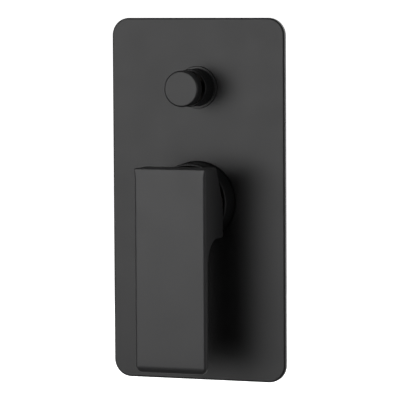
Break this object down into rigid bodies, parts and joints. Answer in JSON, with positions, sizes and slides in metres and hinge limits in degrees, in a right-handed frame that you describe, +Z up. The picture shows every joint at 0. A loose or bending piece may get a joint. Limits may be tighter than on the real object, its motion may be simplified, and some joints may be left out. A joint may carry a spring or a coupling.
{
  "type": "concealed shower mixer",
  "caption": "Concealed shower and bath mixer with a matt black rectangular wall plate, block lever, push-pull diverter button and in-wall brass valve.",
  "frame": {"origin": "where the cartridge axis meets the plane of the finished wall, which is the back of the wall plate", "axes": "+Z up along the plate's long side, +Y into the wall, +X to the user's right; the lever and button face -Y"},
  "size_m": [0.106, 0.1053, 0.21],
  "materials": {
    "matt_black": "fine matt powder coat",
    "black_plastic": "matt moulded",
    "cast_brass": "sand-cast, shot-blasted, with machined faces",
    "machined_brass": "turned",
    "stainless": "ground",
    "fastener_steel": "zinc plated",
    "zinc_plate": "galvanised sheet with spangle",
    "white_plastic": "moulded acetal",
    "grey_plastic": "moulded glass-filled nylon",
    "blue_plastic": "moulded",
    "ceramic_disc": "lapped alumina",
    "rubber_seal": "moulded nitrile",
    "foam_seal": "closed-cell foam"
  },
  "bodies": {
    "valve": {"wall_plate": "matt_black", "plate_gasket": "foam_seal", "sleeve_plate_ring": "rubber_seal", "button_plate_ring": "rubber_seal", "cartridge_sleeve": "matt_black", "diverter_sleeve": "matt_black", "cartridge_nut": "machined_brass", "cartridge_housing": "white_plastic", "fixed_disc": "ceramic_disc", "cartridge_base": "white_plastic", "base_seals": "rubber_seal", "diverter_bonnet": "machined_brass", "bonnet_ring": "rubber_seal", "valve_body": "cast_brass", "channel_plug": "machined_brass", "check_valves": "blue_plastic", "mounting_bracket": "zinc_plate", "bracket_screws": "fastener_steel"},
    "rotor": {"cartridge_rotor": "grey_plastic", "stem_pin": "fastener_steel"},
    "lever": {"lever_handle": "matt_black", "lever_grub_screw": "fastener_steel", "lever_screw_plug": "black_plastic", "cartridge_stem": "machined_brass"},
    "disc": {"disc_carrier": "grey_plastic", "moving_disc": "ceramic_disc"},
    "button": {"diverter_button": "matt_black", "button_grub_screw": "fastener_steel", "diverter_spindle": "stainless", "spindle_rings": "rubber_seal", "valve_plate": "machined_brass", "valve_washers": "rubber_seal", "valve_nut": "fastener_steel"}
  },
  "joints": [
    {"name": "lever_turn", "type": "hinge", "parent": "valve", "child": "rotor", "pos_m": [0, 0, 0], "axis": [0, -1, 0], "range_deg": [-45, 45]},
    {"name": "lever_lift", "type": "hinge", "parent": "rotor", "child": "lever", "pos_m": [0, -0.005, 0], "axis": [-1, 0, 0], "range_deg": [0, 25]},
    {"name": "disc_slide", "type": "slide", "parent": "rotor", "child": "disc", "axis": [0, 0, -1], "range_m": [0, 0.0044]},
    {"name": "button_push", "type": "slide", "parent": "valve", "child": "button", "axis": [0, 1, 0], "range_m": [0, 0.005]}
  ],
  "couplings": [
    {"joint": "disc_slide", "follows": "lever_lift", "m_per_rad": 0.01}
  ]
}
